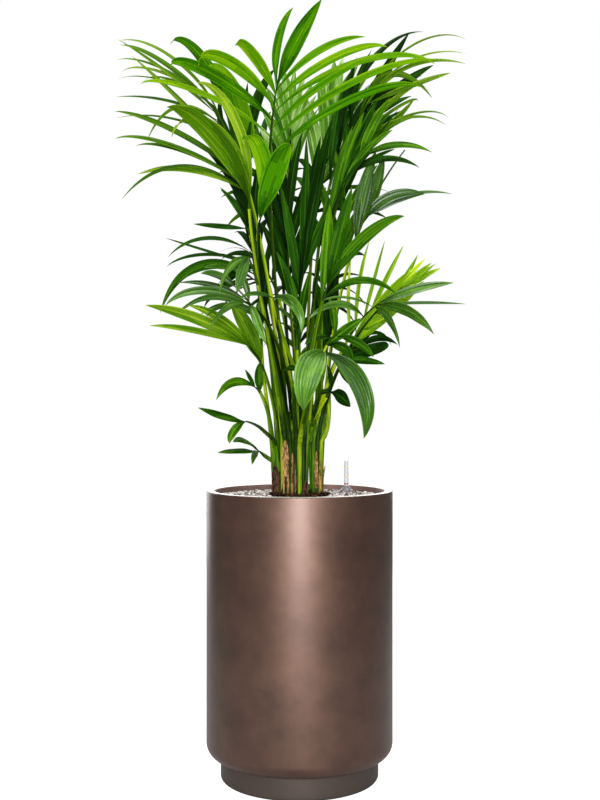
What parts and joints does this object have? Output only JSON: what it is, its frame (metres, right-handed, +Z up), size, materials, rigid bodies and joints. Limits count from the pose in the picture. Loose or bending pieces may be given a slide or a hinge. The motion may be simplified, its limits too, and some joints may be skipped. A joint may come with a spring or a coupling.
{
  "type": "potted kentia palm",
  "caption": "Tall kentia palm with arching feathery fronds on long petioles, growing as a clump from pebbles in a tall round metallic planter with a water gauge.",
  "frame": {"origin": "middle of the planter's flat underside, on the floor", "axes": "+Z up along the planter's axis, -Y to the front of the plant, +X to the right seen from the front"},
  "size_m": [0.74, 0.6557, 1.595],
  "materials": {
    "planter": "satin bronze-taupe metallic lacquer with a bright satin rim",
    "soil": "loose dark brown potting soil",
    "pebbles": "smooth grey and white pebbles",
    "gauge": "clear glossy plastic, yellowed at its marks",
    "stem": "green petiole bases in tan fibrous sheaths",
    "leaf_bright": "semi-gloss bright green leaf",
    "leaf_mid": "satin mid-green leaf",
    "leaf_dark": "satin dark green leaf",
    "leaf_olive": "satin olive-green leaf",
    "leaf_pale": "matt pale grey-green leaf",
    "leaf_lime": "satin yellow-green leaf",
    "leaf_glossy": "glossy fresh green leaf"
  },
  "bodies": {
    "root": {"planter": "planter", "growing_medium": "soil", "pebble_bed": "pebbles", "gauge_base": "gauge", "gauge_tube": "gauge", "stem_left": "stem", "stem_front": "stem", "stem_middle": "stem", "stem_right": "stem", "stem_back": "stem", "frond_top_centre": "leaf_bright", "frond_front_pair": "leaf_bright", "frond_left_high": "leaf_olive", "frond_left_broad": "leaf_olive", "frond_left_back_dark": "leaf_bright", "frond_back_small": "leaf_dark", "frond_back_pale_left": "leaf_pale", "frond_back_pale_right": "leaf_pale", "frond_right_dark": "leaf_dark", "frond_right_high": "leaf_olive", "frond_right_mid": "leaf_mid", "frond_right_arcs": "leaf_mid", "frond_right_thin_rib": "leaf_glossy", "frond_right_broad": "leaf_mid", "frond_right_fill": "leaf_mid", "frond_left_fill": "leaf_dark", "frond_centre_dark": "leaf_dark", "frond_centre_back_dark": "leaf_dark", "frond_centre_blade": "leaf_mid", "frond_left_mid_high": "leaf_mid", "frond_left_mid": "leaf_glossy", "frond_left_spikes": "leaf_dark", "frond_left_lime": "leaf_olive", "frond_front_droop_high": "leaf_glossy", "frond_front_droop_low": "leaf_glossy", "frond_front_small": "leaf_glossy", "frond_right_arching": "leaf_glossy", "frond_right_lime_fan": "leaf_lime", "frond_right_low_dark": "leaf_dark", "frond_right_low_mid": "leaf_mid", "frond_front_broad_pair": "leaf_glossy", "frond_low_left_pair": "leaf_mid", "frond_low_left_long": "leaf_mid", "frond_low_left_small": "leaf_mid", "frond_low_right_pair": "leaf_dark", "frond_centre_small": "leaf_mid", "frond_young_spear": "leaf_dark", "frond_back_high_left": "leaf_mid", "frond_back_high_right": "leaf_mid", "frond_back_mid_left": "leaf_dark", "frond_back_mid_right": "leaf_dark", "frond_back_low": "leaf_mid", "frond_left_edge": "leaf_dark", "frond_right_edge": "leaf_dark"}
  },
  "joints": []
}
